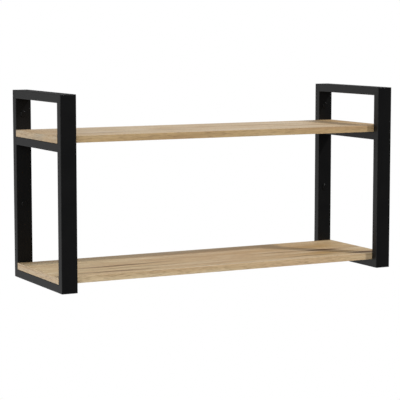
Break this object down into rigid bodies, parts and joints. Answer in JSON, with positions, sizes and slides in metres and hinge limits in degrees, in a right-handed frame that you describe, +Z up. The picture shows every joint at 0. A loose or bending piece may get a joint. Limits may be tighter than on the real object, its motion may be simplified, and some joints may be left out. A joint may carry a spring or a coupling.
{
  "type": "wall shelf",
  "caption": "Open wall shelf: oak-decor boards lie between rectangular black steel tube end frames, which screw to the wall through their rear uprights.",
  "frame": {"origin": "centre of the four wall holes, on the plane of the wall", "axes": "+X along the shelf, to the right seen from the front; +Y into the wall; +Z up"},
  "size_m": [0.9, 0.3, 0.4571],
  "materials": {
    "frame_coat": "matte black powder coat with a fine texture",
    "oak_board": "pale oak decor with lengthwise grain, matte",
    "oak_band": "edge band printed with the same pale oak",
    "cap_plastic": "black moulded plastic",
    "screw_steel": "bright zinc plate"
  },
  "bodies": {
    "root": {"left_front_upright": "frame_coat", "left_rear_upright": "frame_coat", "left_top_rail": "frame_coat", "left_middle_rail": "frame_coat", "left_bottom_rail": "frame_coat", "left_frame_welds": "frame_coat", "left_hole_caps": "cap_plastic", "right_front_upright": "frame_coat", "right_rear_upright": "frame_coat", "right_top_rail": "frame_coat", "right_middle_rail": "frame_coat", "right_bottom_rail": "frame_coat", "right_frame_welds": "frame_coat", "right_hole_caps": "cap_plastic", "upper_board": "oak_board", "upper_front_edge_band": "oak_band", "upper_rear_edge_band": "oak_band", "upper_left_edge_band": "oak_band", "upper_right_edge_band": "oak_band", "upper_board_screws": "screw_steel", "lower_board": "oak_board", "lower_front_edge_band": "oak_band", "lower_rear_edge_band": "oak_band", "lower_left_edge_band": "oak_band", "lower_right_edge_band": "oak_band", "lower_board_screws": "screw_steel"}
  },
  "joints": []
}
